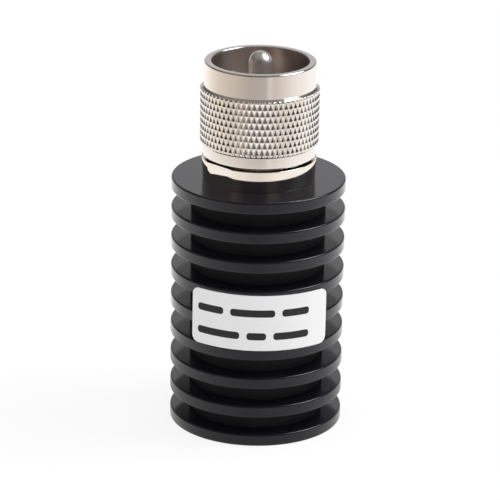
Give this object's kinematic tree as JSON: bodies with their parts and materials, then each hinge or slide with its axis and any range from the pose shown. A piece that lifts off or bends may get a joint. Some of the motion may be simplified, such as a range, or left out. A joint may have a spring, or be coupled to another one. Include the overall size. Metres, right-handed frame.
{
  "type": "rf dummy load",
  "caption": "Coaxial RF dummy load: a round finned black heat sink with a nickel-plated screw-on plug, whose knurled coupling nut turns around a domed contact pin.",
  "frame": {"origin": "centre of the flat base of the heat sink", "axes": "+Z along the axis, from the base to the contact pin; the label faces -Y"},
  "size_m": [0.029, 0.0291, 0.0641],
  "materials": {
    "black_anodised": "satin",
    "nickel_plate": "satin",
    "spring_steel": "satin",
    "insulator": "matte",
    "alumina": "matte",
    "copper": "satin",
    "label_paper": "matte"
  },
  "bodies": {
    "load": {"heat_sink": "black_anodised", "connector_body": "nickel_plate", "centre_pin": "nickel_plate", "front_insulator": "insulator", "rear_insulator": "insulator", "termination_substrate": "alumina", "termination_cover": "alumina", "lead_tab": "copper", "label": "label_paper"},
    "nut": {"coupling_nut": "nickel_plate", "snap_ring": "spring_steel"}
  },
  "joints": [
    {"name": "nut_spin", "type": "hinge", "parent": "load", "child": "nut", "pos_m": [0, 0, 0.0545], "axis": [0, 0, 1], "continuous": true}
  ]
}
